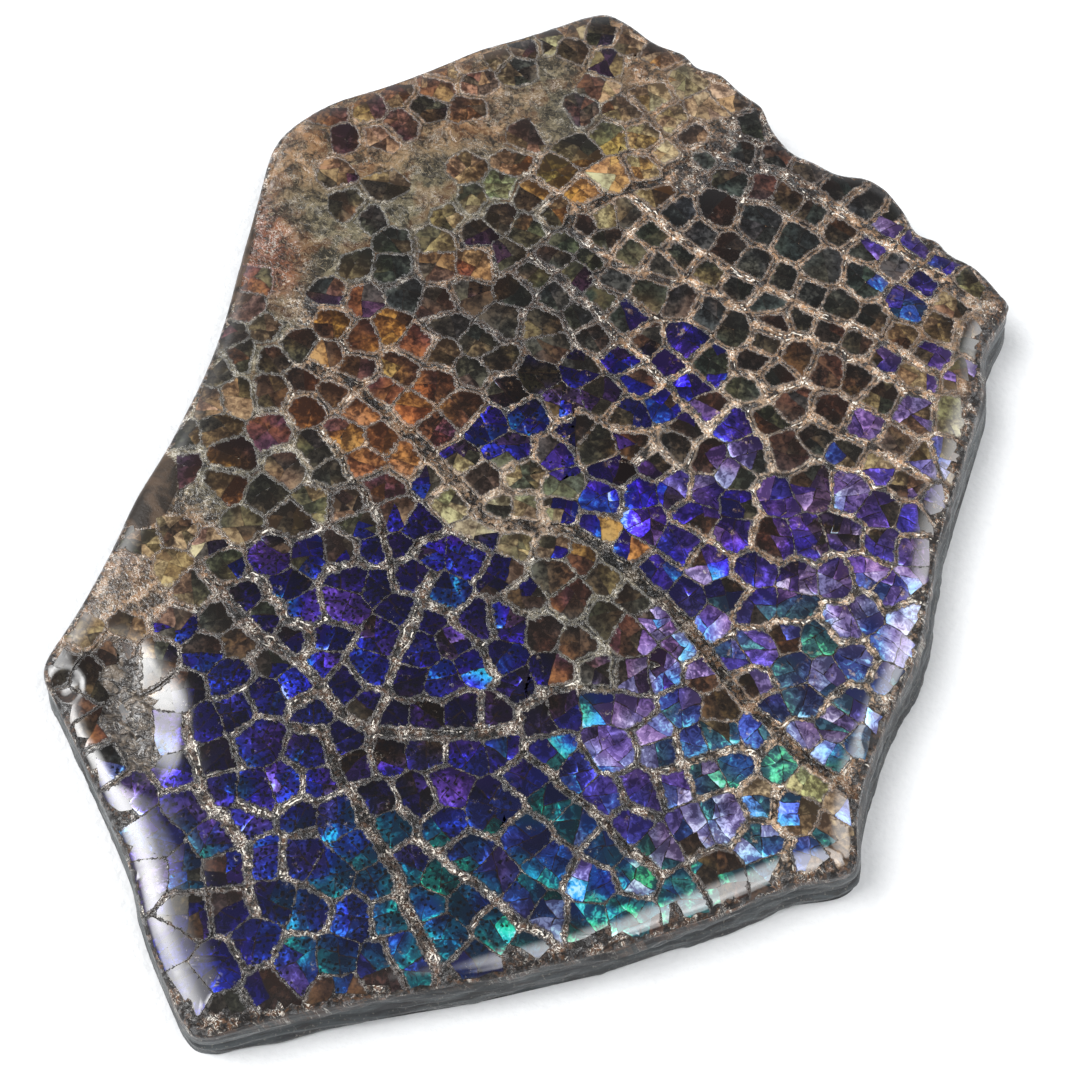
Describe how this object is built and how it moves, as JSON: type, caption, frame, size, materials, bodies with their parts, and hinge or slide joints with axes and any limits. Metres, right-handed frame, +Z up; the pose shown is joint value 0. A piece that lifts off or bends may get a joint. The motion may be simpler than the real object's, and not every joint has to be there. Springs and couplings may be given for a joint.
{
  "type": "ammolite specimen",
  "caption": "Flat slab of shale with a polished, crushed ammonite shell on top: cracked plates of blue, violet and green nacre between brown veins.",
  "frame": {"origin": "middle of the slab's box, on its flat underside", "axes": "+Z up through the slab's thickness, out of the polished face; +Y along the slab's length, towards the pointed far tip; +X towards the side with the broken edge"},
  "size_m": [0.1082, 0.1441, 0.0082],
  "materials": {
    "polished_shell": "gloss"
  },
  "bodies": {
    "root": {"ammolite_slab": "polished_shell"}
  },
  "joints": []
}
